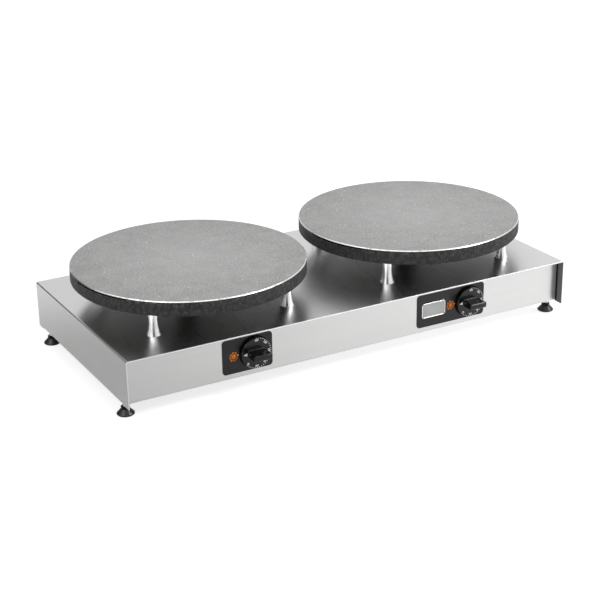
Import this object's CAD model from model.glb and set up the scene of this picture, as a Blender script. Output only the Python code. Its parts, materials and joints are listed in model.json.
"""Twin electric crepe maker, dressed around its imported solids.

Shapes are worked out in millimetres as numpy grids and scaled to metres when they become meshes.
The frame: +X along the front to the right, +Y to the back, +Z up, origin on the bench.
"""

import functools
import json
import logging
from dataclasses import dataclass, field, replace
from enum import Enum
from typing import Callable

import bmesh
import bpy
import numpy as np
from mathutils import Matrix, Vector

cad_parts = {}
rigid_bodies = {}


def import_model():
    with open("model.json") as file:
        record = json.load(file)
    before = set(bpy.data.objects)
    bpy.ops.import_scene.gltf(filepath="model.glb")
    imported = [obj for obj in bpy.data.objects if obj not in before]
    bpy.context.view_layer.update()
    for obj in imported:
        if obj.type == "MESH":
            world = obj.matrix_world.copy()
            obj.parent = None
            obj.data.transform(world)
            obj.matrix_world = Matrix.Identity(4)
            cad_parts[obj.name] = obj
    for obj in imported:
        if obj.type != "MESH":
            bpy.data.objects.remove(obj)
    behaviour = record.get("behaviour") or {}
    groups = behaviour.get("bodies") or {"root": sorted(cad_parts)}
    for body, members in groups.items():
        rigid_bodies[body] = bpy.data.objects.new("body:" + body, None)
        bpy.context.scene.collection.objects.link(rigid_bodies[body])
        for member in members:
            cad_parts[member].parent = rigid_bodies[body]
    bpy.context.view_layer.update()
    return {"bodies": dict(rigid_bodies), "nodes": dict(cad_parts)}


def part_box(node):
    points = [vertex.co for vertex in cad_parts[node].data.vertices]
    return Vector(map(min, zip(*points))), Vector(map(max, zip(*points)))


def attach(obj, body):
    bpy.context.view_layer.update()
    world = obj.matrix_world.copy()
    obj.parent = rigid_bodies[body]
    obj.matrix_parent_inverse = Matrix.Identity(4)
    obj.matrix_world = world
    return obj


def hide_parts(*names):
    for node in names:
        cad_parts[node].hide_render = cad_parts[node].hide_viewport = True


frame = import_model()

log = logging.getLogger("crepe_maker")
MM = 0.001
MERGE_MM = 0.002
QUARTER = np.pi / 2
FULL = 2 * np.pi
NOISE_SPAN = (0.3, 0.7)
SHADE_SPAN = (0.25, 0.75)
Colour = tuple[float, float, float]
Axes = tuple[float, float, float]
Chooser = Callable[[np.ndarray, np.ndarray], np.ndarray]
Socket = bpy.types.NodeSocket


class Side(Enum):
    """The two cooking stations."""

    LEFT = "left"
    RIGHT = "right"


class Corner(Enum):
    """The four levelling feet."""

    FRONT_LEFT = "front_left"
    FRONT_RIGHT = "front_right"
    REAR_LEFT = "rear_left"
    REAR_RIGHT = "rear_right"


class PlateZone(Enum):
    """Parts of a cast plate, numbered as their finishes are listed."""

    FACE = 0
    RING = 1
    SKIN = 2
    BELOW = 3
    GROOVE = 4


# ---- surfaces -----------------------------------------------------------------------------------
@dataclass
class Surface:
    """A mesh in millimetres: points (n, 3) and faces as rows of four point numbers."""

    points: np.ndarray
    faces: np.ndarray

    @classmethod
    def grid(cls, points: np.ndarray, round_columns: bool = False) -> "Surface":
        """Join each point of a (rows, columns, 3) grid with the next row and the next column.

        Args:
            points: the grid's points.
            round_columns: the last column is joined to the first.

        Returns:
            The surface, one face for each cell of the grid.
        """
        numbers = np.arange(points.shape[0] * points.shape[1]).reshape(points.shape[:2])
        if round_columns:
            numbers = np.hstack([numbers, numbers[:, :1]])
        cells = (numbers[:-1, :-1], numbers[:-1, 1:], numbers[1:, 1:], numbers[1:, :-1])
        return cls(points.reshape(-1, 3), np.stack(cells, -1).reshape(-1, 4))

    @classmethod
    def rings(cls, radius: np.ndarray, angle: np.ndarray, height: np.ndarray) -> "Surface":
        """Rings round the Z axis: x = radius cos angle, y = radius sin angle, z = height.

        Args:
            radius: (rings, points) or a shape that spreads to it, as for the other two.
            angle: in radians.
            height: along Z.

        Returns:
            The surface between the rings, closed round the axis.
        """
        spread = np.broadcast_arrays(radius * np.cos(angle), radius * np.sin(angle), height)
        return cls.grid(np.stack(spread, -1), round_columns=True)

    def __add__(self, other: "Surface") -> "Surface":
        """Both surfaces as one mesh."""
        faces = np.vstack([self.faces, other.faces + len(self.points)])
        return Surface(np.vstack([self.points, other.points]), faces)

    def at(self, x: float, y: float, z: float = 0.0) -> "Surface":
        """The surface moved by x, y and z."""
        return Surface(self.points + np.array([x, y, z]), self.faces)

    def repeated(self, offsets: np.ndarray) -> "Surface":
        """One copy of the surface for each offset.

        Args:
            offsets: (n, 3) how far each copy is moved.

        Returns:
            The copies as one surface.
        """
        points = (self.points[None] + offsets[:, None]).reshape(-1, 3)
        steps = np.arange(len(offsets)) * len(self.points)
        return Surface(points, (self.faces[None] + steps[:, None, None]).reshape(-1, 4))

    def on_front(self, x: float, y: float, z: float) -> "Surface":
        """The surface, built up along +Z, stood on the plane at y so that it points forward."""
        px, py, pz = self.points.T
        return Surface(np.stack([x + px, y - pz, z + py], -1), self.faces)

    def without(self, dropped: np.ndarray) -> "Surface":
        """The surface less the faces that are marked, and less the points only they use."""
        used, faces = np.unique(self.faces[~dropped], return_inverse=True)
        return Surface(self.points[used], faces.reshape(-1, 4))


def rounded(corners: np.ndarray, radius: float | np.ndarray, steps: int = 5) -> np.ndarray:
    """Polyline whose inner corners are arcs.

    With u and v the directions into and out of a corner and turn the angle between them, the arc
    starts radius * tan(turn / 2) before the corner, and its points are
    centre + radius * (u * sin(a) - n * cos(a)), where n is square to u on the side of v and a
    runs from 0 to turn.

    Args:
        corners: (n, 2) points.
        radius: one radius, or one for each inner corner.
        steps: points on each arc.

    Returns:
        The points (m, 2) of the rounded line.
    """
    runs = np.diff(corners, axis=0)
    runs /= np.linalg.norm(runs, axis=1, keepdims=True)
    u, v = runs[:-1], runs[1:]
    along = np.sum(u * v, 1, keepdims=True)
    n = v - along * u
    n /= np.linalg.norm(n, axis=1, keepdims=True)
    turn = np.arccos(np.clip(along, -1, 1))
    r = np.broadcast_to(np.asarray(radius, float).reshape(-1, 1), turn.shape)
    centre = corners[1:-1] - u * r * np.tan(turn / 2) + n * r
    a = turn[..., None] * np.linspace(0, 1, steps)[None, :, None]
    arcs = centre[:, None] + r[..., None] * (u[:, None] * np.sin(a) - n[:, None] * np.cos(a))
    return np.vstack([corners[:1], arcs.reshape(-1, 2), corners[-1:]])


def round_the_axis(steps: int) -> np.ndarray:
    """Evenly spaced angles of one full turn, in radians."""
    return np.linspace(0, FULL, steps, endpoint=False)


def lathe(outline: np.ndarray, steps: int) -> Surface:
    """Carry an outline round the Z axis.

    Args:
        outline: (n, 2) radius and height, from axis to axis where the piece is solid.
        steps: points round the axis.

    Returns:
        The surface of revolution.
    """
    return Surface.rings(outline[:, :1], round_the_axis(steps), outline[:, 1:])


def lofted_slab(length: float, width: float, corner: float, levels: np.ndarray,
                steps: int = 7) -> Surface:
    """Rounded rectangles stacked up Z, each grown outward by its own amount, closed at both ends.

    A point of the rectangle is (length / 2 - corner + grown, width / 2 - corner + grown) with the
    signs of its quarter, plus corner * (cos a, sin a).

    Args:
        length: size along X.
        width: size along Y.
        corner: corner radius.
        levels: (n, 3) height, growth along X and growth along Y.
        steps: points on each corner.

    Returns:
        The closed surface.
    """
    a = np.linspace(0, QUARTER, steps)[None] + np.arange(4)[:, None] * QUARTER
    signs = np.array([(1, 1), (-1, 1), (-1, -1), (1, -1)])
    height, grow_x, grow_y = (levels[:, i, None, None] for i in range(3))
    x = signs[:, :1] * (length / 2 - corner + grow_x) + corner * np.cos(a)
    y = signs[:, 1:] * (width / 2 - corner + grow_y) + corner * np.sin(a)
    rings = np.stack([x, y, height + 0 * x], -1).reshape(len(levels), -1, 3)
    ends = rings[[0, -1]] * np.array([0.0, 0.0, 1.0])
    return Surface.grid(np.concatenate([ends[:1], rings, ends[1:]]), round_columns=True)


def smooth_step(value: np.ndarray, width: float) -> np.ndarray:
    """3t^2 - 2t^3 with t = value / width + 1/2 kept within 0 and 1."""
    t = np.clip(value / width + 0.5, 0, 1)
    return t * t * (3 - 2 * t)


def degrees_apart(angle: np.ndarray, other: float | np.ndarray) -> np.ndarray:
    """Degrees from 0 to 180 between an angle in radians and another in degrees."""
    return np.abs((np.degrees(angle) - other + 180) % 360 - 180)


# ---- objects ------------------------------------------------------------------------------------
def extent(node: str) -> tuple[np.ndarray, np.ndarray]:
    """Lowest and highest corner of a CAD node in millimetres."""
    low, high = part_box(node)
    return np.array(low) / MM, np.array(high) / MM


def middle(node: str) -> np.ndarray:
    """Centre of a CAD node's box in millimetres."""
    return np.mean(extent(node), axis=0)


def configured(made: bpy.types.bpy_struct, **settings: object) -> bpy.types.bpy_struct:
    """Set properties of something new, such as a modifier or a lamp.

    Args:
        made: the new thing.
        settings: its properties by name.

    Returns:
        The same thing.
    """
    for key, value in settings.items():
        setattr(made, key, value)
    return made


def linked(name: str, data: bpy.types.ID) -> bpy.types.Object:
    """Add an object to the scene.

    Args:
        name: its name.
        data: the mesh, text, lamp or camera that it shows.

    Returns:
        The new object.
    """
    made = bpy.data.objects.new(name, data)
    bpy.context.scene.collection.objects.link(made)
    return made


def publish(name: str, surface: Surface, finishes: list["Finish"], body: str,
            stands_for: tuple[str, ...] = (), sharp: float = 35.0,
            choose: Chooser | None = None, letters: tuple[bpy.types.Mesh, ...] = (),
            closed: bool = True) -> bpy.types.Object:
    """Make a surface an object of the model, with its finishes, body and slot.

    Args:
        name: the piece's name.
        surface: its shape in millimetres.
        finishes: its finishes, the first for every face unless choose picks another.
        body: the CAD body that it rides on.
        stands_for: CAD nodes that it replaces.
        sharp: edges that turn by more than this many degrees stay sharp.
        choose: gives each face's finish number from face centres (mm) and normals.
        letters: ready meshes in metres that belong to the piece.
        closed: the surface is a closed shell, whose faces are turned outward.

    Returns:
        The new object.
    """
    mesh = bpy.data.meshes.new(name)
    mesh.from_pydata((surface.points * MM).tolist(), [], surface.faces.tolist())
    work = bmesh.new()
    work.from_mesh(mesh)
    bmesh.ops.remove_doubles(work, verts=work.verts, dist=MERGE_MM * MM)
    for letter in letters:
        work.from_mesh(letter)
    if closed:
        bmesh.ops.recalc_face_normals(work, faces=work.faces)
    work.to_mesh(mesh)
    work.free()
    mesh.shade_smooth()
    mesh.set_sharp_from_angle(angle=np.radians(sharp))
    for finish in finishes:
        mesh.materials.append(finish_material(finish))
    if choose is not None:
        centres, normals = np.zeros((2, len(mesh.polygons), 3), np.float32)
        mesh.polygons.foreach_get("center", centres.ravel())
        mesh.polygons.foreach_get("normal", normals.ravel())
        chosen = choose(centres / MM, normals).astype(np.int32)
        mesh.polygons.foreach_set("material_index", chosen)
    piece = linked(name, mesh)
    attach(piece, body)
    if stands_for:
        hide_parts(*stands_for)
    log.info("%s: %d faces on %s", name, len(mesh.polygons), body)
    return piece


def dress_node(node: str, finish: "Finish") -> None:
    """Give a CAD node that stays in view its finish.

    Args:
        node: the node's name.
        finish: its one finish.
    """
    carried = frame["nodes"][node]
    carried.data.materials.clear()
    carried.data.materials.append(finish_material(finish))
    log.info("%s: %s", node, finish.name)


# ---- shader graph -------------------------------------------------------------------------------
@dataclass(frozen=True)
class Noise:
    """Noise from 0 to 1 on Object coordinates.

    It has per_metre features in a metre, detail octaves of which each finer one counts by blend,
    and a factor along each axis.
    """

    per_metre: float
    detail: float = 3.0
    blend: float = 0.5
    stretch: Axes = (1.0, 1.0, 1.0)


@dataclass(frozen=True)
class Patch:
    """A second colour that comes in as a value goes from low to high, up to its share."""

    low: float
    high: float
    share: float
    tint: Colour


class Wiring:
    """A node tree, with short ways to add and join the nodes used here."""

    def __init__(self, tree: bpy.types.NodeTree) -> None:
        """Start with an empty tree."""
        self.tree = tree
        self.tree.nodes.clear()

    def node(self, kind: str, **settings: object) -> bpy.types.Node:
        """Add a shader node of a kind and set its properties."""
        return configured(self.tree.nodes.new("ShaderNode" + kind), **settings)

    def feed(self, socket: Socket, value: object) -> None:
        """Link a socket to another, or set it to a plain value.

        Args:
            socket: the input.
            value: an output socket, or the value.
        """
        if isinstance(value, Socket):
            self.tree.links.new(value, socket)
        else:
            socket.default_value = value

    def fill(self, node: bpy.types.Node, **values: object) -> bpy.types.Node:
        """Set or link a node's inputs by name.

        Args:
            node: the node.
            values: output sockets or values, with _ in a name for a space.

        Returns:
            The same node.
        """
        for key, value in values.items():
            self.feed(node.inputs[key.replace("_", " ")], value)
        return node

    def fed(self, kind: str, *values: object, **settings: object) -> bpy.types.Node:
        """Add a node and feed its first inputs in their order.

        Args:
            kind: the node's kind.
            values: output sockets or values.
            settings: the node's properties by name.

        Returns:
            The new node.
        """
        made = self.node(kind, **settings)
        for socket, value in zip(made.inputs, values):
            self.feed(socket, value)
        return made

    def ranged(self, value: Socket, low: float, high: float, to_low: float = 0.0,
               to_high: float = 1.0) -> Socket:
        """Map low..high to to_low..to_high, held at both ends."""
        return self.fill(self.node("MapRange"), Value=value, From_Min=low, From_Max=high,
                         To_Min=to_low, To_Max=to_high).outputs["Result"]

    def maths(self, operation: str, first: object, second: object = 0.0) -> Socket:
        """One operation on two values or sockets."""
        return self.fed("Math", first, second, operation=operation).outputs[0]

    def vector(self, operation: str, first: object, second: object) -> Socket:
        """One operation on two vectors or sockets."""
        return self.fed("VectorMath", first, second, operation=operation).outputs[0]

    def products(self, first: tuple[object, object], second: tuple[object, object]) -> Socket:
        """The product of the first pair plus that of the second."""
        return self.maths("ADD", self.maths("MULTIPLY", *first), self.maths("MULTIPLY", *second))

    def blend(self, factor: object, first: object, second: object) -> Socket:
        """Mix two colours.

        Args:
            factor: share of the second, a socket or a number.
            first: a socket or a colour.
            second: a socket or a colour.

        Returns:
            The mixed colour.
        """
        made = self.fill(self.node("Mix", data_type="RGBA"), Factor=factor)
        for socket, value in zip((made.inputs[6], made.inputs[7]), (first, second)):
            self.feed(socket, (*value, 1.0) if isinstance(value, tuple) else value)
        return made.outputs[2]

    def mixed(self, factor: object, first: object, second: object) -> Socket:
        """Mix two numbers.

        Args:
            factor: share of the second, a socket or a number.
            first: a socket or a number.
            second: a socket or a number.

        Returns:
            The mixed number.
        """
        made = self.node("Mix")
        for index, value in ((0, factor), (2, first), (3, second)):
            self.feed(made.inputs[index], value)
        return made.outputs[0]

    def parts(self, vector: Socket) -> bpy.types.bpy_prop_collection:
        """The sockets X, Y and Z of a vector."""
        return self.fed("SeparateXYZ", vector).outputs

    def camera_ray(self) -> Socket:
        """1 for camera rays, otherwise 0."""
        return self.node("LightPath").outputs["Is Camera Ray"]

    def gloss_ray(self) -> Socket:
        """1 for glossy and transmission rays, otherwise 0."""
        path = self.node("LightPath").outputs
        return self.maths("MAXIMUM", path["Is Glossy Ray"], path["Is Transmission Ray"])


class Graph(Wiring):
    """The shader nodes of one material."""

    def __init__(self, name: str) -> None:
        """Start a material with one surface shader.

        Args:
            name: the material's name.
        """
        self.material = bpy.data.materials.new(name)
        self.material.use_nodes = True
        super().__init__(self.material.node_tree)
        self.shader = self.node("BsdfPrincipled")
        self.surface = self.node("OutputMaterial").inputs["Surface"]
        self.feed(self.surface, self.shader.outputs[0])
        self.place = self.node("TexCoord").outputs["Object"]

    def set(self, **values: object) -> None:
        """Set or link shader inputs, with _ in a name for a space."""
        self.fill(self.shader, **values)

    def mapped(self, centre: Axes = (0.0, 0.0, 0.0), stretch: Axes = (1.0, 1.0, 1.0)) -> Socket:
        """Object coordinates about a centre in millimetres, multiplied along each axis."""
        shifted = self.vector("SUBTRACT", self.place, [c * MM for c in centre])
        return self.vector("MULTIPLY", shifted, stretch)

    def noise(self, noise: Noise) -> Socket:
        """Add a noise.

        Args:
            noise: its size and make.

        Returns:
            Its value, from 0 to 1.
        """
        made = self.fill(self.node("TexNoise"), Vector=self.mapped(stretch=noise.stretch),
                         Scale=noise.per_metre, Detail=noise.detail, Roughness=noise.blend)
        return made.outputs["Fac"]

    def wavering(self, value: Socket, low: float, high: float) -> Socket:
        """From low to high as a noise goes over the middle of its range."""
        return self.ranged(value, *NOISE_SPAN, low, high)

    def shades(self, colour: Colour, spread: float, value: Socket) -> Socket:
        """A colour that goes from darker to lighter as a value goes over the shades' span.

        Args:
            colour: the colour in the middle.
            spread: how much of it is taken off and added at the ends.
            value: what the shades follow.

        Returns:
            The shaded colour.
        """
        dark = tuple(c * (1 - spread) for c in colour)
        light = tuple(min(c * (1 + spread), 1.0) for c in colour)
        return self.blend(self.ranged(value, *SHADE_SPAN), dark, light)

    def share(self, value: Socket, patch: Patch) -> Socket:
        """How much of a patch's colour shows at a value."""
        return self.ranged(value, patch.low, patch.high, 0.0, patch.share)

    def patched(self, colour: object, value: Socket, patch: Patch) -> Socket:
        """The colour with a patch's colour where the value is high."""
        return self.blend(self.share(value, patch), colour, patch.tint)

    def relief(self, height: Socket, depth: float) -> None:
        """Add a bump to what the shader's normal already has.

        Args:
            height: the bump's height, from 0 to 1.
            depth: how many millimetres that is.
        """
        made = self.fill(self.node("Bump"), Strength=1.0, Distance=depth * MM, Height=height)
        normal = self.shader.inputs["Normal"]
        if normal.is_linked:
            self.feed(made.inputs["Normal"], normal.links[0].from_socket)
        self.feed(normal, made.outputs["Normal"])

    def radius(self, centre: Axes, plane: Axes = (1.0, 1.0, 0.0)) -> Socket:
        """Distance in metres from an axis through a centre, measured in a plane."""
        across = self.mapped(centre, plane)
        return self.fed("VectorMath", across, operation="LENGTH").outputs["Value"]

    def height(self) -> Socket:
        """Object Z in metres."""
        return self.parts(self.place)["Z"]


# ---- finishes -----------------------------------------------------------------------------------
@dataclass(frozen=True)
class Finish:
    """A surface finish: its name, a colour in linear light and its roughness.

    Smoother and rougher say how far its roughness wavers below and above its mean.
    """

    name: str
    colour: Colour
    roughness: float
    smoother: float = 0.04
    rougher: float = 0.05

    def dress(self, graph: Graph) -> None:
        """Set the shader of a new material."""
        raise NotImplementedError

    def gloss(self, graph: Graph, noise: Socket) -> Socket:
        """The roughness, from its least to its most as a noise rises."""
        return graph.wavering(noise, self.roughness - self.smoother, self.roughness + self.rougher)


@functools.cache
def finish_material(finish: Finish) -> bpy.types.Material:
    """The one material of a finish.

    Args:
        finish: the finish.

    Returns:
        Its material, made when it is first asked for.
    """
    graph = Graph(finish.name)
    finish.dress(graph)
    return graph.material


@dataclass(frozen=True)
class BrushedMetal(Finish):
    """Sheet with long grain: fine and broad streaks, gloss drawn out square to the grain."""

    smoother: float = 0.03
    rougher: float = 0.03
    grain: Axes = (1.0, 0.0, 0.0)
    streaks: float = 0.05
    anisotropy: float = 0.85
    smudge: float = 0.03
    depth: float = 0.004
    along_grain: float = 0.012
    fine: Noise = Noise(1500, detail=2.0)
    broad: Noise = Noise(170, detail=2.0)
    clouds: Noise = Noise(5, detail=2.0)
    fine_share: float = 0.6
    smudge_tint: Colour = (0.30, 0.31, 0.32)

    def dress(self, graph: Graph) -> None:
        """Streaks are noise drawn out along the grain; smudges are soft clouds over them.

        Args:
            graph: the nodes of a new material.
        """
        stretch = tuple(self.along_grain if g else 1.0 for g in self.grain)
        fine, broad = (graph.noise(replace(n, stretch=stretch)) for n in (self.fine, self.broad))
        lines = graph.products((fine, self.fine_share), (broad, 1 - self.fine_share))
        smudges = Patch(*NOISE_SPAN, self.smudge, self.smudge_tint)
        colour = graph.shades(self.colour, self.streaks, lines)
        graph.set(Base_Color=graph.patched(colour, graph.noise(self.clouds), smudges),
                  Roughness=self.gloss(graph, lines), Metallic=1.0,
                  Anisotropic=self.anisotropy)
        graph.relief(fine, self.depth)
        normal = graph.node("NewGeometry").outputs["Normal"]
        graph.set(Tangent=graph.vector("CROSS_PRODUCT", normal, self.grain))


@dataclass(frozen=True)
class GroundEdge(Finish):
    """Bright edge left by shearing and grinding."""

    rougher: float = 0.06
    marks: Noise = Noise(900)
    uneven: float = 0.05
    depth: float = 0.01

    def dress(self, graph: Graph) -> None:
        """Fine noise along the edge.

        Args:
            graph: the nodes of a new material.
        """
        marks = graph.noise(self.marks)
        graph.set(Base_Color=graph.shades(self.colour, self.uneven, marks), Metallic=1.0,
                  Roughness=self.gloss(graph, marks))
        graph.relief(marks, self.depth)


@dataclass(frozen=True)
class CookingFace(Finish):
    """Ground cast iron: speckle, sparse bright grains, rings left by the lathe, paler middle."""

    smoother: float = 0.08
    rougher: float = 0.10
    centre: Axes = (0.0, 0.0, 0.0)
    rim: float = 0.2
    speck: Noise = Noise(420, detail=4.0, blend=0.8)
    speck_span: tuple[float, float] = (0.38, 0.62)
    speck_depth: float = 0.07
    uneven: float = 0.42
    blot: Noise = Noise(36)
    blots: Patch = Patch(0.35, 0.65, 0.26, (0.52, 0.52, 0.51))
    grain: Noise = Noise(260, detail=1.0)
    grains: Patch = Patch(0.67, 0.75, 0.75, (0.78, 0.78, 0.77))
    pale: float = 0.38
    pale_tint: Colour = (0.58, 0.58, 0.58)
    ring_radians_per_metre: float = 5200.0
    ring_depth: float = 0.003

    def dress(self, graph: Graph) -> None:
        """Speckle and grains are noise; the rings are a sine of the radius; the middle is paler.

        Args:
            graph: the nodes of a new material.
        """
        speck = graph.noise(self.speck)
        radius = graph.radius(self.centre)
        contrast = graph.ranged(speck, *self.speck_span, *SHADE_SPAN)
        colour = graph.shades(self.colour, self.uneven, contrast)
        colour = graph.patched(colour, graph.noise(self.blot), self.blots)
        pale = graph.ranged(radius, 0.0, self.rim, self.pale, 0.0)
        colour = graph.blend(pale, colour, self.pale_tint)
        colour = graph.patched(colour, graph.noise(self.grain), self.grains)
        graph.set(Base_Color=colour, Metallic=1.0, Roughness=self.gloss(graph, speck))
        turns = graph.maths("MULTIPLY", radius, self.ring_radians_per_metre)
        graph.relief(graph.maths("SINE", turns), self.ring_depth)
        graph.relief(speck, self.speck_depth)


@dataclass(frozen=True)
class CastSkin(Finish):
    """As-cast iron: sand texture, scabs, and grey flakes where the edge was turned.

    The flakes come in from flake_low up to the line, both heights in metres.
    """

    smoother: float = 0.08
    rougher: float = 0.18
    flake_low: float = 0.164
    line: float = 0.1722
    metallic: float = 0.35
    uneven: float = 0.45
    sand: Noise = Noise(420, detail=5.0, blend=0.65)
    sand_depth: float = 0.16
    scab: Noise = Noise(190, blend=0.6, stretch=(1.0, 1.0, 0.8))
    scabs: Patch = Patch(0.44, 0.66, 0.44, (0.15, 0.15, 0.148))
    scab_depth: float = 0.14
    lump: Noise = Noise(60, detail=2.0)
    lumps: Patch = Patch(0.35, 0.7, 0.30, (0.075, 0.074, 0.072))
    lump_depth: float = 0.16
    flake: Noise = Noise(150, detail=5.0, blend=0.65, stretch=(1.0, 1.0, 2.0))
    flakes: Patch = Patch(0.55, 0.63, 0.8, (0.20, 0.20, 0.197))

    def dress(self, graph: Graph) -> None:
        """Sand and scabs are noise; flakes are noise that shows only in the band under the edge.

        Args:
            graph: the nodes of a new material.
        """
        sand, scab, lump = (graph.noise(n) for n in (self.sand, self.scab, self.lump))
        band = graph.ranged(graph.height(), self.flake_low, self.line)
        torn = graph.share(graph.noise(self.flake), self.flakes)
        colour = graph.shades(self.colour, self.uneven, sand)
        colour = graph.patched(colour, scab, self.scabs)
        colour = graph.patched(colour, lump, self.lumps)
        colour = graph.blend(graph.maths("MULTIPLY", band, torn), colour, self.flakes.tint)
        graph.set(Base_Color=colour, Metallic=self.metallic, Roughness=self.gloss(graph, sand))
        graph.relief(lump, self.lump_depth)
        graph.relief(scab, self.scab_depth)
        graph.relief(sand, self.sand_depth)


@dataclass(frozen=True)
class TurnedEdge(Finish):
    """Bright chamfer left by the lathe, broken where the casting stayed dark."""

    smoother: float = 0.06
    rougher: float = 0.10
    gap: Noise = Noise(75, detail=5.0, blend=0.7)
    gaps: Patch = Patch(0.54, 0.66, 0.85, (0.16, 0.16, 0.158))
    gap_depth: float = -0.05
    fine: Noise = Noise(700, detail=2.0)
    uneven: float = 0.12

    def dress(self, graph: Graph) -> None:
        """Gaps are noise past a threshold; finer noise breaks the gloss.

        Args:
            graph: the nodes of a new material.
        """
        gaps = graph.share(graph.noise(self.gap), self.gaps)
        fine = graph.noise(self.fine)
        colour = graph.blend(gaps, graph.shades(self.colour, self.uneven, fine), self.gaps.tint)
        graph.set(Base_Color=colour, Metallic=1.0, Roughness=self.gloss(graph, fine))
        graph.relief(gaps, self.gap_depth)


@dataclass(frozen=True)
class TurnedMetal(Finish):
    """Bright turned metal: grooves round its Z axis, which draw the gloss out up and down."""

    smoother: float = 0.025
    rougher: float = 0.025
    groove_radians_per_metre: float = 16335.8
    groove_depth: float = 0.0002
    anisotropy: float = 0.9
    haze: Noise = Noise(140)
    uneven: float = 0.03

    def dress(self, graph: Graph) -> None:
        """Grooves are a sine of the height; a little noise breaks the gloss.

        Args:
            graph: the nodes of a new material.
        """
        haze = graph.noise(self.haze)
        graph.set(Base_Color=graph.shades(self.colour, self.uneven, haze), Metallic=1.0,
                  Anisotropic=self.anisotropy, Roughness=self.gloss(graph, haze))
        turns = graph.maths("MULTIPLY", graph.height(), self.groove_radians_per_metre)
        graph.relief(graph.maths("SINE", turns), self.groove_depth)
        graph.set(Tangent=graph.fill(graph.node("CombineXYZ"), Z=1.0).outputs[0])


@dataclass(frozen=True)
class PlatedMetal(Finish):
    """Plated, drawn or cast metal with a slightly uneven colour.

    Its roughness wavers by a share of itself.
    """

    uneven_gloss: float = 0.2
    tint: Colour = (0.5, 0.55, 0.62)
    uneven: float = 0.2
    drift: Noise = Noise(160)
    drift_span: tuple[float, float] = (0.35, 0.7)
    fine: Noise = Noise(1400, detail=2.0)
    depth: float = 0.01

    def dress(self, graph: Graph) -> None:
        """A second colour drifts in by noise; fine noise breaks the gloss.

        Args:
            graph: the nodes of a new material.
        """
        drifted = Patch(*self.drift_span, self.uneven, self.tint)
        fine = graph.noise(self.fine)
        spread = self.uneven_gloss * self.roughness
        graph.set(Base_Color=graph.patched(self.colour, graph.noise(self.drift), drifted),
                  Metallic=1.0, Roughness=graph.wavering(fine, self.roughness - spread,
                                                         self.roughness + spread))
        graph.relief(fine, self.depth)


@dataclass(frozen=True)
class MouldedPlastic(Finish):
    """Moulded plastic or rubber: even colour, fine spark texture, faint flow clouds."""

    texture: Noise = Noise(1800, detail=2.0)
    texture_depth: float = 0.012
    cloud: Noise = Noise(60)
    uneven: float = 0.12
    specular: float = 0.5

    def dress(self, graph: Graph) -> None:
        """Texture is fine noise; clouds shift the colour and the gloss.

        Args:
            graph: the nodes of a new material.
        """
        cloud = graph.noise(self.cloud)
        graph.set(Base_Color=graph.shades(self.colour, self.uneven, cloud),
                  Specular_IOR_Level=self.specular, Roughness=self.gloss(graph, cloud))
        graph.relief(graph.noise(self.texture), self.texture_depth)


@dataclass(frozen=True)
class Ink(Finish):
    """Printed ink with slightly thin spots."""

    spot: Noise = Noise(1500)
    spots: Patch = Patch(0.55, 0.8, 0.4, (0.6, 0.6, 0.6))

    def dress(self, graph: Graph) -> None:
        """Thin spots are noise towards the second colour.

        Args:
            graph: the nodes of a new material.
        """
        graph.set(Base_Color=graph.patched(self.colour, graph.noise(self.spot), self.spots),
                  Roughness=self.roughness)


@dataclass(frozen=True)
class AmberJewel(Finish):
    """Translucent lamp lens: amber dome, dark groove round it, orange petals with pale tips.

    The groove, the petals and their tips start at radii in millimetres, and each colour comes in
    over twice the fade.
    """

    centre: Axes = (0.0, 0.0, 0.0)
    zones: tuple[tuple[float, Colour], ...] = ((4.3, (0.17, 0.022, 0.0)),
                                               (5.7, (0.46, 0.12, 0.03)),
                                               (7.9, (0.95, 0.50, 0.22)))
    fade: float = 0.35
    ripple: Noise = Noise(420, detail=2.0)
    ripple_shift: float = 0.4
    ripple_depth: float = 0.04
    glow: float = 0.16
    specular: float = 0.25

    def dress(self, graph: Graph) -> None:
        """Colour follows the distance from the lamp's axis, broken by small noise.

        Args:
            graph: the nodes of a new material.
        """
        ripple = graph.noise(self.ripple)
        shift = self.ripple_shift * MM
        distance = graph.maths("ADD", graph.radius(self.centre, (1.0, 0.0, 1.0)),
                               graph.wavering(ripple, -shift, shift))
        colour = self.colour
        for start, shade in self.zones:
            reached = graph.ranged(distance, (start - self.fade) * MM, (start + self.fade) * MM)
            colour = graph.blend(reached, colour, shade)
        graph.set(Base_Color=colour, Roughness=self.roughness, Specular_IOR_Level=self.specular,
                  Emission_Color=colour, Emission_Strength=self.glow)
        graph.relief(ripple, self.ripple_depth)


@dataclass(frozen=True)
class FibreMat(Finish):
    """Felted or braided fibre: tangled streaks with deep relief."""

    per_metre: float = 700.0
    depth: float = 0.25
    uneven: float = 0.14
    lays: tuple[Axes, Axes] = ((0.15, 1.0, 1.0), (1.0, 0.15, 0.6))

    def dress(self, graph: Graph) -> None:
        """Two noises drawn out along different axes give crossing fibres.

        Args:
            graph: the nodes of a new material.
        """
        first, second = (graph.noise(Noise(self.per_metre, detail=4.0, stretch=lay))
                         for lay in self.lays)
        tangle = graph.products((first, 0.5), (second, 0.5))
        graph.set(Base_Color=graph.shades(self.colour, self.uneven, tangle),
                  Roughness=self.roughness)
        graph.relief(tangle, self.depth)


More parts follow.
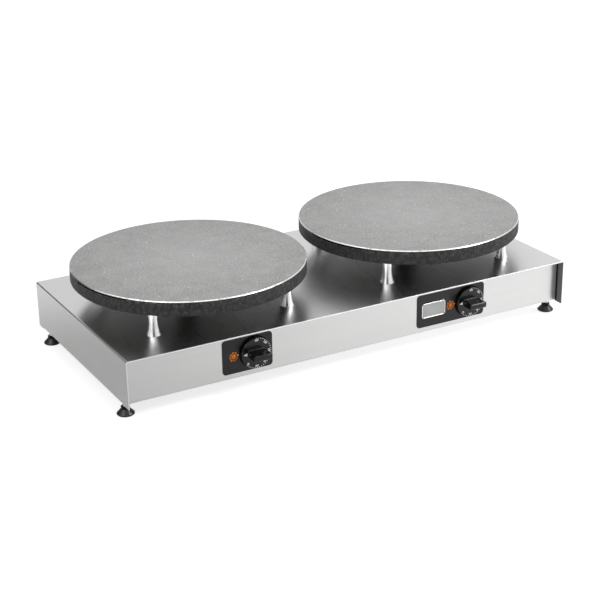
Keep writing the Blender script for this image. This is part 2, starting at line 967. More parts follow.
STEEL = (0.78, 0.78, 0.775)
COVER_SHEET = BrushedMetal("cover_steel", STEEL, 0.28, grain=(0.0, 1.0, 0.0), streaks=0.012,
                           anisotropy=0.76, smudge=0.015, depth=0.0006, smoother=0.008,
                           rougher=0.008)
COVER_INSIDE = BrushedMetal("cover_steel_inside", (0.16, 0.16, 0.16), 0.42,
                            grain=(0.0, 1.0, 0.0), anisotropy=0.4)
CUT_EDGE = GroundEdge("cover_cut_edge", (0.99, 0.99, 0.99), 0.3)
WALL_SHEET = BrushedMetal("wall_steel", STEEL, 0.3, streaks=0.03, anisotropy=0.4, depth=0.0025)
CAST_IRON = CastSkin("cast_iron_skin", (0.026, 0.026, 0.0255), 0.6)
SCORCHED = CastSkin("scorched_iron", (0.018, 0.018, 0.0175), 0.6, flake_low=0.3, line=0.31,
                    scabs=replace(CAST_IRON.scabs, tint=(0.04, 0.039, 0.038)))
SOOT = MouldedPlastic("soot", (0.0012, 0.0012, 0.0012), 0.9, specular=0.05)
BRIGHT_RING = TurnedEdge("turned_edge", (0.80, 0.80, 0.795), 0.26)
POLISHED = TurnedMetal("polished_steel", (0.96, 0.96, 0.96), 0.25)
ZINC = PlatedMetal("zinc_plate", (0.66, 0.67, 0.68), 0.26, tint=(0.58, 0.62, 0.72))
BLACK_OXIDE = PlatedMetal("black_oxide", (0.016, 0.016, 0.017), 0.35, tint=(0.03, 0.03, 0.033))
BRIGHT_ZINC = PlatedMetal("bright_zinc", (0.84, 0.85, 0.86), 0.2, tint=(0.72, 0.75, 0.82))
MILL_STEEL = PlatedMetal("mill_steel", (0.13, 0.13, 0.13), 0.45, tint=(0.08, 0.07, 0.06),
                         uneven=0.5, drift=Noise(40))
HEATER_STEEL = PlatedMetal("heater_sheath", (0.12, 0.13, 0.12), 0.5, tint=(0.16, 0.11, 0.08),
                           uneven=0.6)
COPPER = PlatedMetal("copper_tube", (0.72, 0.42, 0.28), 0.3, tint=(0.45, 0.22, 0.12), uneven=0.5)
BRASS = PlatedMetal("brass", (0.72, 0.54, 0.26), 0.28, tint=(0.5, 0.36, 0.16), uneven=0.35)
BADGE_METAL = BrushedMetal("badge_aluminium", (0.40, 0.405, 0.40), 0.2, grain=(0.8, 0.0, 0.6),
                           streaks=0.25, anisotropy=0.6)
BADGE_RIM = PlatedMetal("badge_rim", (0.97, 0.97, 0.97), 0.25, tint=(0.8, 0.82, 0.82))
DIAL_PLASTIC = MouldedPlastic("dial_plastic", (0.003, 0.003, 0.003), 0.18, texture_depth=0.003)
LABEL_FILM = MouldedPlastic("label_film", (0.0042, 0.0042, 0.0044), 0.28,
                            texture=Noise(2600, detail=2.0), texture_depth=0.005)
BLACK_NYLON = MouldedPlastic("black_nylon", (0.02, 0.02, 0.021), 0.42)
FOOT_RUBBER = MouldedPlastic("foot_rubber", (0.006, 0.006, 0.0065), 0.3,
                             texture=Noise(900, detail=2.0))
SEAL_RUBBER = MouldedPlastic("seal_rubber", (0.03, 0.03, 0.03), 0.6)
WHITE_MOULDING = MouldedPlastic("white_moulding", (0.75, 0.74, 0.70), 0.4)
PHENOLIC = MouldedPlastic("thermostat_moulding", (0.30, 0.24, 0.16), 0.45, texture_depth=0.02)
WHITE_INK = Ink("white_ink", (0.95, 0.95, 0.95), 0.5)
CERAMIC_WOOL = FibreMat("ceramic_wool", (0.80, 0.78, 0.72), 0.95)
BRAID = FibreMat("braided_sleeve", (0.72, 0.69, 0.62), 0.8, per_metre=1600, depth=0.1)


# ---- casing -------------------------------------------------------------------------------------
@dataclass
class Casing:
    """Folded cover, with the finishes of the pan and of the fasteners that hold the two."""

    sheet: float = 2.0
    bend: float = 3.5
    bend_steps: int = 9
    eased_edge: float = 0.6
    lip: float = 20.0
    lip_setback: float = 20.0
    relief: float = 0.6
    end_cells: int = 2
    hole_radius: float = 4.5
    hole_cells: int = 6
    hole_margin: float = 3.0

    def __post_init__(self) -> None:
        """Read the cover's box and the studs' places, and set the lines across a stud's hole."""
        self.low, self.high = extent("top_cover")
        self.stud_x, self.stud_y = np.abs(middle(f"foot_stud_{Corner.FRONT_LEFT.value}")[:2])
        fan = np.linspace(-np.pi / 4, np.pi / 4, self.hole_cells + 1)
        self.across = self.hole_radius * np.tan(fan)

    def section(self) -> np.ndarray:
        """Line of the outer face from lip to lip, with the rows of the holes in it.

        Returns:
            Its points (x, z).
        """
        low, high = self.low, self.high
        inner = high[0] - self.lip
        corners = np.array([(-inner, low[2]), (low[0], low[2]), (low[0], high[2]),
                            (high[0], high[2]), (high[0], low[2]), (inner, low[2])])
        line = rounded(corners, self.bend, self.bend_steps)
        rows = np.stack([-self.stud_x - self.across, np.full(len(self.across), low[2])], -1)
        return np.vstack([line[:1], rows, line[1:-1], rows[::-1] * (-1, 1), line[-1:]])

    def columns(self) -> np.ndarray:
        """Columns of the grid: the lips' ends and the lines across the holes, mirrored.

        Returns:
            Their places along Y, from back to front.
        """
        back = self.high[1]
        start = back - self.lip_setback
        clear = self.hole_radius + self.hole_margin
        half = np.concatenate([[back, start + self.relief, start, self.stud_y + clear],
                               self.stud_y - self.across, [self.stud_y - clear]])
        return np.concatenate([half, -half[::-1]])

    def cover_surface(self) -> Surface:
        """Outer face of the folded sheet, laid out as its flat pattern.

        Rows follow the section from one lip's edge over side, deck and side to the other lip.
        Columns run back to front. Cells of the lips stop short of both ends by the setback, and
        the last run of each side wall there goes straight down instead of round the bend.
        A block of cells round each foot's stud is left out. Its rows and columns lie at the
        hole's radius times tan(a), with a from -45 to 45 degrees, and its points are moved along
        the line from the hole's centre until they are the radius away. A column on each side of
        the block, hole_margin further out, keeps the lip's long cells flat.

        Returns:
            The open surface, to be given its thickness.
        """
        line, depth, low = self.section(), self.columns(), self.low
        x, y, z = np.broadcast_arrays(line[:, :1], depth, line[:, 1:])
        off_x, off_y = np.abs(x) - self.stud_x, np.abs(y) - self.stud_y
        tiny = 0.01
        reach = np.maximum(np.abs(off_x), np.abs(off_y))
        block = (reach < self.hole_radius + tiny) & (z == low[2])
        away = np.maximum(np.hypot(off_x, off_y), tiny)
        grown = np.where(block, self.hole_radius / away - 1, 0)
        x, y = x + np.sign(x) * off_x * grown, y + np.sign(y) * off_y * grown
        rows, columns = np.arange(len(line) - 1), np.arange(len(depth) - 1)
        lip_cells = self.bend_steps + len(self.across)
        lips = (rows < lip_cells) | (rows >= len(rows) - lip_cells)
        ends = (columns < self.end_cells) | (columns >= len(columns) - self.end_cells)
        hole = block[:-1, :-1] & block[1:, :-1] & block[:-1, 1:] & block[1:, 1:]
        dropped = (lips[:, None] & ends) | hole
        sheet = Surface.grid(np.stack([x, y, z], -1)).without(dropped.ravel())
        run = np.array([low[2], low[2] + self.bend])[:, None]
        for edge, heights in ((low[0], run), (self.high[0], run[::-1])):
            for end in (depth[:2], depth[-2:]):
                tab = np.stack(np.broadcast_arrays(edge, end, heights), -1)
                sheet = sheet + Surface.grid(tab)
        return sheet

    def build(self) -> None:
        """Make the cover and dress the pan and the small parts."""
        finishes = [COVER_SHEET, COVER_INSIDE, CUT_EDGE]
        cover = publish("folded_cover", self.cover_surface(), finishes, "casing",
                        ("top_cover",), closed=False)
        configured(cover.modifiers.new("sheet", "SOLIDIFY"), thickness=self.sheet * MM,
                   offset=-1.0, use_even_offset=True, material_offset=1, material_offset_rim=2)
        configured(cover.modifiers.new("edges", "BEVEL"), width=self.eased_edge * MM, segments=3,
                   limit_method="ANGLE", angle_limit=np.radians(50), harden_normals=False)
        configured(cover.modifiers.new("even", "WEIGHTED_NORMAL"), keep_sharp=True)
        dress_node("base_pan", WALL_SHEET)
        for node in ("cover_screws", "foot_nuts", "pillar_studs", "pillar_washers", "pillar_nuts"):
            dress_node(node, ZINC)


# ---- cooking heads ------------------------------------------------------------------------------
@dataclass
class CookingHead:
    """Cast plate on four turned pillars, with its heater, shield and conduit."""

    side: Side
    skirt: float = 11.0
    skirt_slope: float = 1.0
    web: float = 12.0
    web_corner: tuple[float, float] = (2.0, 0.5)
    chamfer: float = 1.5
    foot_chamfer: float = 2.5
    rib_half: float = 3.0
    rib_height: float = 7.0
    rib_start: float = 153.4
    rib_ease: float = 2.5
    ribs: int = 8
    boss_radius: float = 15.0
    draft: float = 1.2
    near_columns: tuple[float, ...] = (0, 1.5, 2.3, 2.8, 3.3, 3.9, 5.5, 8, 10.5, 12.5, 13.7, 14.6,
                                       15.4, 16.4, 18.5, 22)
    near_radius: float = 75.0
    far_columns: int = 9
    web_gap: float = 1.5
    web_step: float = 1.3
    web_fine_to: float = 149.0
    web_rings: tuple[float, ...] = (140, 110, 80, 50, 20, 0)
    groove_top: float = 1.65
    groove_foot: float = 4.2
    groove_wall: float = 0.15
    groove_depth: float = 3.0
    groove_angle: float = 197.0
    groove_spread: float = 14.0
    groove_fade: float = 12.0
    face_slope: float = 0.98
    ring_slope: float = 0.3
    pillar_circle: float = 172.0
    pillar_end: float = 12.2
    pillar_waist: float = 8.4
    pillar_ease: float = 0.4

    def __post_init__(self) -> None:
        """Read the places of the plate and the deck from the frame."""
        self.low, self.high = extent(f"griddle_plate_{self.side.value}")
        self.centre = (self.low + self.high) / 2
        self.radius = (self.high[0] - self.low[0]) / 2
        self.deck = extent("top_cover")[1][2]

    def plate_outline(self) -> tuple[np.ndarray, int]:
        """Outline (radius, height) from the middle of the top, round the rim, to the middle below.

        Returns:
            The outline, and the number of its first point on the flat underside of the web.
        """
        r, top, foot = self.radius, self.high[2], self.low[2]
        under = top - self.web
        inside, (run, drop) = r - self.skirt, self.web_corner
        corners = np.array([(0, top), (r - self.chamfer, top), (r, top - self.chamfer),
                            (r, foot + self.foot_chamfer), (r - self.foot_chamfer, foot),
                            (inside + self.skirt_slope, foot), (inside, under - drop),
                            (inside - run, under)])
        eases = np.array([0.25, 0.25, 1.2, 1.2, 1.0, 1.2])
        outer = rounded(corners, eases, steps=4)
        walls = np.array([self.groove_top, self.groove_top + self.groove_wall,
                          self.groove_foot - self.groove_wall, self.groove_foot])
        outer = np.insert(outer, np.argmax(outer[:, 1] < top - self.groove_foot),
                          np.stack([np.full(len(walls), r), top - walls], -1), axis=0)
        fine = np.arange(inside - run - self.web_gap, self.web_fine_to, -self.web_step)
        web = np.concatenate([fine, self.web_rings])
        below = np.stack([web, np.full(len(web), under)], -1)
        return np.vstack([outer, below]), len(outer)

    def plate_surface(self) -> Surface:
        """Closed casting: an outline of revolution, with ribs and bosses raised on its underside.

        Each of the sectors is centred on a rib. Columns near it keep a fixed distance from its
        middle line, distance / radius as an angle, and the rest share the sector evenly. A rib is
        a smooth step of (half width - distance); a boss is one of (its radius - distance to it).
        The groove under the turned edge fades out along the rim as a smooth step of the angle.

        Returns:
            The plate's surface about its own centre.
        """
        outline, first_below = self.plate_outline()
        r, z = outline[:, :1], outline[:, 1:]
        near = np.array(self.near_columns) / np.maximum(r, self.near_radius)
        half = np.pi / self.ribs
        last, steps = near[:, -1:], np.arange(1, self.far_columns + 1)
        right = np.hstack([near, last + (half - last) * steps / self.far_columns])
        local = np.hstack([-right[:, -2:0:-1], right])
        sectors = 2 * half * np.arange(self.ribs)
        angle = (local[:, None, :] + sectors[None, :, None]).reshape(len(outline), -1)
        inward = np.tile(local, (1, self.ribs))
        along, aside = r * np.cos(inward), r * np.sin(inward)
        rib = smooth_step(self.rib_half - np.abs(aside), self.draft)
        rib = self.rib_height * rib * smooth_step(r - self.rib_start, self.rib_ease)
        odd = np.arange(angle.shape[1]) // local.shape[1] % 2 == 1
        reach = np.hypot(along - self.pillar_circle, aside)
        top = self.high[2]
        depth = top - self.web - self.low[2]
        boss = depth * smooth_step(self.boss_radius - reach, self.draft) * odd
        below = (np.arange(len(outline)) >= first_below)[:, None]
        height = z - np.maximum(rib, boss) * below
        down, margin, play = top - z, self.groove_wall / 2, 0.1
        groove = (r > self.radius - play) & (down > self.groove_top + margin)
        groove &= down < self.groove_foot - margin
        apart = degrees_apart(angle, self.groove_angle)
        shown = smooth_step(self.groove_spread - apart, self.groove_fade)
        return Surface.rings(r - self.groove_depth * shown * groove, angle, height)

    def plate_finish(self, centres: np.ndarray, normals: np.ndarray) -> np.ndarray:
        """Number of each face's plate zone.

        The cooking face is level and the bright ring lies on the chamfer. The groove and the
        underside are told from the cast skin by their distance to the plate's axis.

        Args:
            centres: the faces' centres in millimetres.
            normals: their directions.

        Returns:
            One zone number for each face.
        """
        play, rim_play, below_play = 0.1, 0.35, 0.5
        down, level = self.high[2] - centres[:, 2], normals[:, 2]
        upper = down < self.chamfer + play
        face = upper & (level > self.face_slope)
        ring = upper & ~face & (level > self.ring_slope)
        reach = np.hypot(*(centres - self.centre)[:, :2].T)
        groove = (down < self.groove_foot) & (reach < self.radius - rim_play)
        below = reach < self.radius - self.foot_chamfer - below_play
        zones = (PlateZone.FACE, PlateZone.RING, PlateZone.GROOVE, PlateZone.BELOW)
        return np.select([face, ring, groove, below], [zone.value for zone in zones],
                         PlateZone.SKIN.value)

    def pillar_surface(self) -> Surface:
        """Turned pillar whose waist is one arc between its two ends.

        With half the arc's height and sag the difference between its end and waist radii, the
        arc's radius is (half^2 + sag^2) / (2 sag), and the pillar's radius is
        waist + arc - sqrt(arc^2 - (height from the middle)^2).

        Returns:
            One pillar standing on z = 0.
        """
        height = self.low[2] - self.deck
        half = height / 2 - self.pillar_ease
        sag = self.pillar_end - self.pillar_waist
        arc = (half ** 2 + sag ** 2) / (2 * sag)
        up = np.linspace(-half, half, num=41)
        waist = self.pillar_waist + arc - np.sqrt(arc ** 2 - up ** 2)
        end = self.pillar_end - self.pillar_ease
        outline = np.vstack([[(0, 0), (end, 0)], np.stack([waist, up + height / 2], -1),
                             [(end, height), (0, height)]])
        return lathe(outline, steps=64)

    def build(self) -> None:
        """Make the plate and its pillars, and dress the heater, shield, probe and conduit."""
        name = self.side.value
        x, y = self.centre[:2]
        face = CookingFace(f"cooking_face_{name}", (0.347, 0.347, 0.344), 0.5, centre=(x, y, 0.0))
        finishes = {PlateZone.FACE: face, PlateZone.RING: BRIGHT_RING, PlateZone.SKIN: CAST_IRON,
                    PlateZone.BELOW: SCORCHED, PlateZone.GROOVE: SOOT}
        publish(f"cast_plate_{name}", self.plate_surface().at(x, y),
                [finishes[zone] for zone in PlateZone], "casing",
                (f"griddle_plate_{name}",), choose=self.plate_finish)
        a = np.radians(45 + 90 * np.arange(4))
        spots = np.stack([x + self.pillar_circle * np.cos(a), y + self.pillar_circle * np.sin(a),
                          np.full(len(a), self.deck)], -1)
        publish(f"turned_pillars_{name}", self.pillar_surface().repeated(spots), [POLISHED],
                "casing", (f"pillars_{name}",))
        for node, finish in (("heating_element", HEATER_STEEL), ("element_clamps", ZINC),
                             ("insulation_disc", CERAMIC_WOOL), ("heat_shield", MILL_STEEL),
                             ("wiring_conduit", MILL_STEEL), ("temperature_probe", COPPER)):
            dress_node(f"{node}_{name}", finish)


# ---- controls -----------------------------------------------------------------------------------
@dataclass
class ControlSet:
    """Label, dial with its print, and pilot lamp of one side."""

    side: Side
    skirt_radius: float = 27.8
    skirt_height: float = 1.2
    face_radius: float = 27.0
    face_ease: tuple[float, float] = (0.6, 0.7)
    disc: float = 5.0
    grip_base: tuple[float, float] = (29.4, 12.5)
    grip_crest: tuple[float, float] = (34.0, 10.0)
    grip_height: float = 23.5
    grip_corner: float = 2.2
    grip_fillet: float = 1.2
    grip_chamfer: tuple[float, float] = (1.2, 1.0)
    grip_sunk: float = 0.5
    number_radius: float = 22.2
    number_size: float = 4.3
    number_weight: float = 0.22
    numbers: tuple[tuple[int, float], ...] = ((50, -135), (100, -90), (150, -48), (200, 0),
                                              (250, 45), (300, 90))
    dot_ring: float = 25.6
    dot_radius: float = 0.8
    dot_step: float = 9.0
    index: tuple[tuple[float, float], ...] = ((-24.2, 0.5), (-17.3, 3.4), (-17.3, -2.4))
    index_middle: tuple[float, float] = (-19.7, 0.5)
    ink: float = 0.06
    lens_radius: float = 7.0
    lens_dome: float = 4.5
    lens_rise: float = 3.0
    lens_floor: float = 0.5
    lens_bank: float = 0.5
    facets: int = 8
    facet_depth: float = 0.14
    petal_height: float = 1.3
    petal_side: float = 0.45
    petal_edge: float = 0.9
    petal_width: float = 13.0
    petal_lengths: tuple[float, ...] = (2.0, 1.0, 1.1, 0.9, 1.0, 1.5, 1.0, 0.9)
    lug_angle: float = 10.0

    def __post_init__(self) -> None:
        """Read the places of the dial and the lamp from the frame."""
        name = self.side.value
        low, high = extent(f"knob_{name}")
        self.x, _, self.z = (low + high) / 2
        self.back_y = high[1]
        self.face_y = self.back_y - self.disc
        self.lamp = middle(f"pilot_lamp_{name}")
        self.label_y = extent(f"control_label_{name}")[0][1]

    def dial_surface(self) -> Surface:
        """Skirted disc of revolution, with an eased rim and a step behind the face's edge.

        Returns:
            The closed disc, standing on z = 0.
        """
        skirt, face, disc = self.skirt_radius, self.face_radius, self.disc
        inward, down = self.face_ease
        corners = np.array([(0, 0), (skirt, 0), (skirt, self.skirt_height), (face, disc - down),
                            (face - inward, disc), (0, disc)])
        eases = np.array([0.3, 0.6, 0.4, 0.3])
        return lathe(rounded(corners, eases), steps=128)

    def grip_surface(self) -> Surface:
        """Bar grip: rounded rectangles that grow longer and narrower towards the crest.

        Growth is a quarter round fillet at the face, straight flanks, and a chamfer at the crest's
        edge, on top of half the change from base to crest times the height's share.

        Returns:
            The closed bar, standing on the dial's face.
        """
        fillet, (inward, rise) = self.grip_fillet, self.grip_chamfer
        a = np.linspace(0, QUARTER, num=6)
        base = np.stack([fillet * (1 - np.cos(a)), fillet * (1 - np.sin(a))], -1)
        crest = np.array([(self.grip_height - rise, 0), (self.grip_height, -inward)])
        height, grown = np.vstack([[(-self.grip_sunk, fillet)], base, crest]).T
        share = np.clip(height / self.grip_height, 0, 1)[:, None]
        change = (np.array(self.grip_crest) - np.array(self.grip_base)) / 2
        levels = np.hstack([height[:, None], grown[:, None] + share * change])
        return lofted_slab(*self.grip_base, self.grip_corner, levels).at(0, 0, self.disc)

    def number_mesh(self, number: int, degrees: float) -> bpy.types.Mesh:
        """One of the dial's numbers as a thin solid, its top turned outward.

        Args:
            number: the number.
            degrees: its angle about the dial's axis, counted from the right.

        Returns:
            The mesh in metres, in its place on the dial's face.
        """
        text = configured(bpy.data.curves.new("number", "FONT"), body=str(number),
                          size=self.number_size * MM, align_x="CENTER", align_y="CENTER",
                          offset=self.number_weight * MM, extrude=self.ink / 2 * MM)
        carrier = linked("number", text)
        bpy.context.view_layer.update()
        solid = carrier.evaluated_get(bpy.context.evaluated_depsgraph_get())
        mesh = bpy.data.meshes.new_from_object(solid)
        bpy.data.objects.remove(carrier)
        angle = np.radians(degrees)
        reach = self.number_radius
        spot = Vector((reach * np.cos(angle), reach * np.sin(angle), 0)) * MM
        home = Vector((self.x, self.face_y, self.z)) * MM
        upright = Matrix(((1, 0, 0, 0), (0, 0, -1, 0), (0, 1, 0, 0), (0, 0, 0, 1)))
        mesh.transform(Matrix.Translation(home) @ upright @ Matrix.Translation(spot)
                       @ Matrix.Rotation(angle - QUARTER, 4, "Z"))
        return mesh

    def print_surface(self) -> Surface:
        """Index triangle at the off mark, and dots at even steps round the scale.

        Returns:
            The marks as thin solids, standing on the dial's face.
        """
        first, last = self.numbers[0][1], self.numbers[-1][1]
        angles = np.radians(np.arange(first, last + 1, self.dot_step))
        spots = self.dot_ring * np.stack([np.cos(angles), np.sin(angles), 0 * angles], -1)
        section = [(0, 0), (self.dot_radius, 0), (self.dot_radius, self.ink), (0, self.ink)]
        dot = lathe(np.array(section), steps=12)
        tips = np.array(self.index)
        centre = np.tile(self.index_middle, (len(tips), 1))
        flat = np.stack([centre, tips, tips, centre])
        height = np.array([0.0, 0.0, self.ink, self.ink])[:, None, None]
        triangle = np.concatenate([flat, np.broadcast_to(height, (4, len(tips), 1))], -1)
        return dot.repeated(spots) + Surface.grid(triangle, round_columns=True)

    def lens_surface(self) -> Surface:
        """Lamp lens: a petalled bezel, a groove, then a dome cut in facets.

        The bezel's reach is its radius plus a bump of exp(-(angle / width)^4) for each petal,
        longer at the lug and the petal across from it. Its section is a quarter round. The dome's
        height is (1 - share^2) times its rise, lowered by a share of |sin(facets / 2 * angle)|.

        Returns:
            The closed lens, standing on the label.
        """
        a = round_the_axis(steps=160)
        petals = len(self.petal_lengths)
        lobes = self.lug_angle + 360 / petals * np.arange(petals)
        apart = degrees_apart(a[None], lobes[:, None])
        bumps = np.array(self.petal_lengths)[:, None] * np.exp(-(apart / self.petal_width) ** 4)
        reach = self.lens_radius + np.sum(bumps, 0)
        inner = self.lens_dome + self.petal_edge
        turn = np.linspace(0, QUARTER, num=6)[:, None]
        outer = reach - self.petal_edge * (1 - np.cos(turn))
        side = self.petal_side
        outer_height = self.petal_height * (side + (1 - side) * np.sin(turn)) + 0 * a
        share = np.linspace(1, 0, num=9)[:, None]
        cut = 1 - self.facet_depth * share * np.abs(np.sin(self.facets / 2 * a))
        dome = self.lens_floor + self.lens_rise * (1 - share ** 2) * cut
        flat = np.ones_like(a)
        r = np.vstack([0 * a, reach, outer, (inner + self.lens_bank) * flat, inner * flat,
                       self.lens_dome * share * flat])
        height = np.vstack([0 * a, 0 * a, outer_height, self.petal_height * flat,
                            self.lens_floor * flat, dome])
        return Surface.rings(r, a, height)

    def build(self) -> None:
        """Make dial, print and lens, and dress what stands behind them."""
        name = self.side.value
        body = f"dial_{name}"
        dial = (self.dial_surface() + self.grip_surface()).on_front(self.x, self.back_y, self.z)
        publish(f"bar_dial_{name}", dial, [DIAL_PLASTIC], body, (f"knob_{name}",))
        printed = self.print_surface().on_front(self.x, self.face_y, self.z)
        publish(f"dial_print_{name}", printed, [WHITE_INK], body,
                letters=tuple(self.number_mesh(*number) for number in self.numbers))
        x, _, z = self.lamp
        jewel = AmberJewel(f"amber_lens_{name}", (0.50, 0.18, 0.003), 0.12, centre=(x, 0.0, z))
        publish(f"lamp_lens_{name}", self.lens_surface().on_front(x, self.label_y, z), [jewel],
                "casing", (f"pilot_lens_{name}",), sharp=25)
        for node, finish in (("control_label", LABEL_FILM), ("thermostat_shaft", ZINC),
                             ("thermostat", PHENOLIC), ("pilot_lamp", WHITE_MOULDING),
                             ("leads", BRAID)):
            dress_node(f"{node}_{name}", finish)


@dataclass
class BlankBadge:
    """Bare metal plate: a raised rim round a field that swells a little towards its middle."""

    corner: float = 4.2
    ease: float = 0.25
    rim: float = 1.2
    step: float = 0.45
    swell: float = 0.3
    middle_half: float = 5.5

    def build(self) -> None:
        """Make the plate from rounded rectangles that shrink towards its middle."""
        low, high = extent("blank_badge")
        length, thick, width = high - low
        inside = self.rim + self.step
        share = np.linspace(0, 1, num=6)
        field_in = inside + share * (width / 2 - inside - self.middle_half)
        field_up = thick - self.step + self.swell * (1 - (1 - share) ** 2)
        edge = [(0, 0), (thick - self.ease, 0), (thick, self.ease), (thick, self.rim)]
        levels = np.vstack([edge, np.stack([field_up, field_in], -1)])[:, [0, 1, 1]]
        levels *= (1, -1, -1)
        x, _, z = middle("blank_badge")
        plate = lofted_slab(length, width, self.corner, levels).on_front(x, high[1], z)
        play = 0.1
        flat_half = np.array([length, width]) / 2 - self.rim - play
        publish("bare_badge", plate, [BADGE_METAL, BADGE_RIM], "casing",
                ("blank_badge",), choose=lambda centres, normals: np.any(
                    np.abs(centres[:, ::2] - (x, z)) > flat_half, axis=1))


# ---- feet and supply ----------------------------------------------------------------------------
@dataclass
class Foot:
    """Rubber foot on a threaded stud with a hexagon."""

    corner: Corner
    sole: float = 12.8
    girth: float = 14.5
    girth_from: float = 1.3
    girth_to: float = 2.7
    shoulder: float = 8.6
    neck: float = 7.6
    height: float = 10.6
    stud: float = 4.0
    stud_sunk: float = 2.0
    stud_chamfer: float = 1.0
    pitch: float = 1.25
    pitch_steps: int = 6
    thread: float = 0.62
    flats: float = 13.0
    hexagon: float = 4.2
    hexagon_rise: tuple[float, ...] = (0.0, 0.0, 0.25, 0.6)

    def pad_surface(self) -> Surface:
        """Turned pad: flat sole, rolled edge, hollow cone and neck.

        Returns:
            The closed pad about the stud's axis.
        """
        corners = np.array([(0, 0), (self.sole, 0), (self.girth, self.girth_from),
                            (self.girth, self.girth_to), (self.neck + 1.3, self.shoulder),
                            (self.neck, self.height - 0.3), (self.neck - 0.6, self.height),
                            (0, self.height)])
        eases = np.array([0.8, 0.7, 0.9, 3.0, 0.4, 0.3])
        return lathe(rounded(corners, eases), steps=64)

    def hexagon_surface(self) -> Surface:
        """Hexagon with chamfered corners, standing on the pad.

        At angle a its reach is half the flats over cos((a + 30) mod 60 - 30), held at each height
        to the chamfer's cone.

        Returns:
            The closed hexagon about the stud's axis.
        """
        a = round_the_axis(steps=72)
        half = self.flats / 2
        reach = half / np.cos((a + np.pi / 6) % (np.pi / 3) - np.pi / 6)
        rise = np.array(self.hexagon_rise)
        up = np.concatenate([rise, self.hexagon - rise[::-1]])
        cone = half + 2 * np.concatenate([rise, rise[::-1]])
        r = np.minimum(reach[None], cone[:, None])
        r[[0, -1]] = 0
        return Surface.rings(r, a, self.height + up[:, None])

    def stud_surface(self, top: float) -> Surface:
        """Screw thread: radius = outer - depth * (1 + cos(2 pi (height / pitch - turn))) / 2.

        Args:
            top: height of the stud's end.

        Returns:
            The closed stud about its axis.
        """
        turn = np.linspace(0, 1, num=32, endpoint=False)
        step, last = self.pitch / self.pitch_steps, top - self.stud_chamfer
        up = np.arange(self.height - self.stud_sunk, last, step)[:, None]
        wave = np.cos(FULL * (up / self.pitch - turn))
        r = self.stud - self.thread * (1 + wave) / 2
        r = np.vstack([0 * turn, r, 0 * turn + self.stud - self.stud_chamfer, 0 * turn])
        return Surface.rings(r, FULL * turn, np.vstack([up[:1], up, [[top]], [[top]]]))

    def build(self) -> None:
        """Make the pad and the stud of one corner."""
        name = self.corner.value
        x, y, _ = middle(f"foot_pad_{name}")
        body = f"foot_{name}"
        publish(f"rubber_foot_{name}", self.pad_surface().at(x, y), [FOOT_RUBBER], body,
                (f"foot_pad_{name}",))
        top = extent(f"foot_stud_{name}")[1][2]
        stud = (self.stud_surface(top) + self.hexagon_surface()).at(x, y)
        publish(f"threaded_stud_{name}", stud, [BRIGHT_ZINC, BLACK_OXIDE], body,
                (f"foot_stud_{name}",), choose=lambda centres, normals: np.hypot(
                    *(centres[:, :2] - (x, y)).T) > self.stud)


@dataclass
class Workings:
    """Parts inside the casing and at its supply entry, which stay as they are built."""

    finishes: dict[str, Finish] = field(default_factory=lambda: {
        "clamp_screws": ZINC, "shield_screws": ZINC, "thermostat_screws": ZINC,
        "gland_body": BLACK_NYLON, "gland_nut": BLACK_NYLON, "gland_locknut": BLACK_NYLON,
        "gland_seal": SEAL_RUBBER, "terminal_block": WHITE_MOULDING, "earth_stud": BRASS})

    def build(self) -> None:
        """Dress each node."""
        for node, finish in self.finishes.items():
            dress_node(node, finish)


# ---- studio -------------------------------------------------------------------------------------
@dataclass(frozen=True)
class Card:
    """Upright dark card: its foot in metres from the machine, half its width, and its edges."""

    name: str
    foot: Axes
    half_width: float
    low: float
    high: float


@dataclass(frozen=True)
class Lamp:
    """Square soft lamp: its place and size in metres, and its power in watts."""

    name: str
    place: Axes
    size: float
    power: float


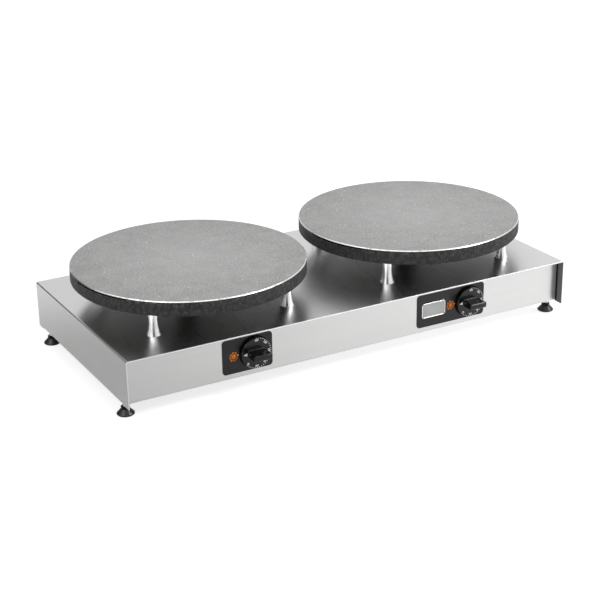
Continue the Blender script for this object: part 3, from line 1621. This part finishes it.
@dataclass
class Studio:
    """White surround, floor, soft lamps, dark cards for the gloss, and the camera.

    Each tuple of four is (from, to, value at from, value at to): over a part of the direction for
    the sky, and in metres for the floor.
    """

    azimuth: float = -28.975
    elevation: float = 21.932
    roll: float = -0.919
    distance: float = 2.19503
    target: Axes = (-0.20134, -0.35079, 0.21321)
    lens: float = 88.34
    film: float = 36.0
    surround: float = 0.5
    sky: tuple[float, ...] = (0.32, 0.57, 0.76, 0.92)
    overhead_from: float = 0.66
    overhead_to: float = 0.76
    overhead: float = 1.4
    floor_half: float = 9.0
    floor_colour: float = 0.62
    floor_seen: tuple[float, ...] = (0.6, 2.5, 0.68, 0.85)
    floor_gloss: tuple[float, ...] = (-0.5, 0.3, 0.065, 0.52)
    floor_gloss_rear: tuple[float, ...] = (0.15, 0.45, 0.0, 0.27)
    dull: float = 0.9
    card_colour: float = 0.01
    cards: tuple[Card, ...] = (Card("front_card", (-1.62, -2.92, 0.0), 1.15, 0.0, 2.1),
                               Card("rear_card", (-1.75, 2.5, 0.0), 0.95, 0.3, 2.0))
    lamps: tuple[Lamp, ...] = (Lamp("key", (1.9, -1.5, 2.2), 1.3, 34.0),
                               Lamp("fill", (-2.2, -0.9, 2.0), 1.6, 14.0))
    lamp_target: Axes = (0.0, 0.0, 0.1)

    def camera(self) -> None:
        """Camera on a line at azimuth and elevation from its target, turned by the roll."""
        azimuth, elevation, turn = np.radians((self.azimuth, self.elevation, self.roll))
        back = Vector((np.sin(azimuth) * np.cos(elevation), -np.cos(azimuth) * np.cos(elevation),
                       np.sin(elevation)))
        right = Vector((np.cos(azimuth), np.sin(azimuth), 0))
        up = back.cross(right)
        across = right * np.cos(turn) + up * np.sin(turn)
        above = up * np.cos(turn) - right * np.sin(turn)
        place = Matrix.Translation(Vector(self.target) + back * self.distance)
        data = configured(bpy.data.cameras.new("camera"), lens=self.lens, sensor_width=self.film)
        camera = linked("camera", data)
        camera.matrix_world = place @ Matrix((across, above, back)).transposed().to_4x4()
        bpy.context.scene.camera = camera

    def light(self, lamp: Lamp) -> None:
        """Hang a lamp so that it points at the machine.

        Args:
            lamp: the lamp.
        """
        data = configured(bpy.data.lights.new(lamp.name, "AREA"), shape="SQUARE", size=lamp.size,
                          energy=lamp.power)
        towards = Vector(self.lamp_target) - Vector(lamp.place)
        configured(linked(lamp.name, data), location=lamp.place,
                   rotation_euler=towards.to_track_quat("-Z", "Y").to_euler())

    def world(self) -> None:
        """White for the camera, brighter to the right in gloss, plain soft light for the rest."""
        world = bpy.data.worlds.new("studio")
        world.use_nodes = True
        graph = Wiring(world.node_tree)
        ray = graph.parts(graph.node("TexCoord").outputs["Generated"])
        gloss = graph.ranged(ray["X"], *self.sky)
        top = graph.ranged(ray["Z"], self.overhead_from, self.overhead_to)
        gloss = graph.mixed(top, gloss, self.overhead)
        level = graph.ranged(graph.camera_ray(), 0.0, 1.0, self.surround, 1.0)
        level = graph.mixed(graph.gloss_ray(), level, gloss)
        white = graph.fill(graph.node("Background"), Color=(1, 1, 1, 1), Strength=level)
        graph.fill(graph.node("OutputWorld"), Surface=white.outputs[0])
        bpy.context.scene.world = world

    def floor(self) -> None:
        """Pale floor with the machine's shadow, white far off, brighter to the right in gloss.

        It is clear from below, and lies under the lowest foot, however far out the feet are
        screwed.
        """
        h = self.floor_half
        graph = Graph("floor")
        seen = graph.ranged(graph.radius((0.0, 0.0, 0.0)), *self.floor_seen)
        across = graph.parts(graph.place)
        gloss = graph.maths("ADD", graph.ranged(across["X"], *self.floor_gloss),
                            graph.ranged(across["Y"], *self.floor_gloss_rear))
        camera = graph.camera_ray()
        graph.set(Base_Color=(*[self.floor_colour] * 3, 1), Roughness=self.dull,
                  Specular_IOR_Level=0.0, Emission_Color=(1, 1, 1, 1),
                  Emission_Strength=graph.products((camera, seen), (graph.gloss_ray(), gloss)))
        underside = graph.node("NewGeometry").outputs["Backfacing"]
        clear = graph.node("BsdfTransparent").outputs[0]
        mix = graph.fed("MixShader", graph.maths("MULTIPLY", camera, underside),
                        graph.shader.outputs[0], clear)
        graph.feed(graph.surface, mix.outputs[0])
        floor = self.sheet("floor", [(-h, -h, 0), (h, -h, 0), (h, h, 0), (-h, h, 0)], graph)
        for corner in Corner:
            configured(floor.constraints.new("FLOOR"), floor_location="FLOOR_NEGATIVE_Z",
                       target=frame["bodies"][f"foot_{corner.value}"])

    def hang(self, card: Card) -> None:
        """Stand a card square to the line to the machine, where only gloss shows it.

        Args:
            card: the card.
        """
        foot = Vector(card.foot)
        side = Vector((-foot.y, foot.x, 0)).normalized() * card.half_width
        corners = [foot + side * sign + Vector((0, 0, z)) for sign, z in
                   ((-1, card.low), (1, card.low), (1, card.high), (-1, card.high))]
        graph = Graph(card.name)
        graph.set(Base_Color=(*[self.card_colour] * 3, 1), Roughness=self.dull,
                  Specular_IOR_Level=0.0)
        configured(self.sheet(card.name, corners, graph), visible_camera=False,
                   visible_diffuse=False, visible_shadow=False)

    def sheet(self, name: str, corners: list[Axes | Vector], graph: Graph) -> bpy.types.Object:
        """Make a flat four-cornered piece of the stage.

        Args:
            name: its name.
            corners: its corners in metres.
            graph: its material's nodes.

        Returns:
            The new object.
        """
        mesh = bpy.data.meshes.new(name)
        mesh.from_pydata(corners, [], [(0, 1, 2, 3)])
        mesh.materials.append(graph.material)
        made = linked(name, mesh)
        return made

    def build(self) -> None:
        """Set up everything round the machine."""
        bpy.context.scene.view_settings.view_transform = "Standard"
        self.camera()
        self.world()
        self.floor()
        for card in self.cards:
            self.hang(card)
        for lamp in self.lamps:
            self.light(lamp)


def main() -> None:
    """Build every sub-assembly in order and note the size of the dressed model."""
    logging.basicConfig(level=logging.INFO, format="%(message)s")
    Studio().build()
    Casing().build()
    for side in Side:
        CookingHead(side).build()
        ControlSet(side).build()
    BlankBadge().build()
    for corner in Corner:
        Foot(corner).build()
    Workings().build()


if __name__ == "__main__":
    main()
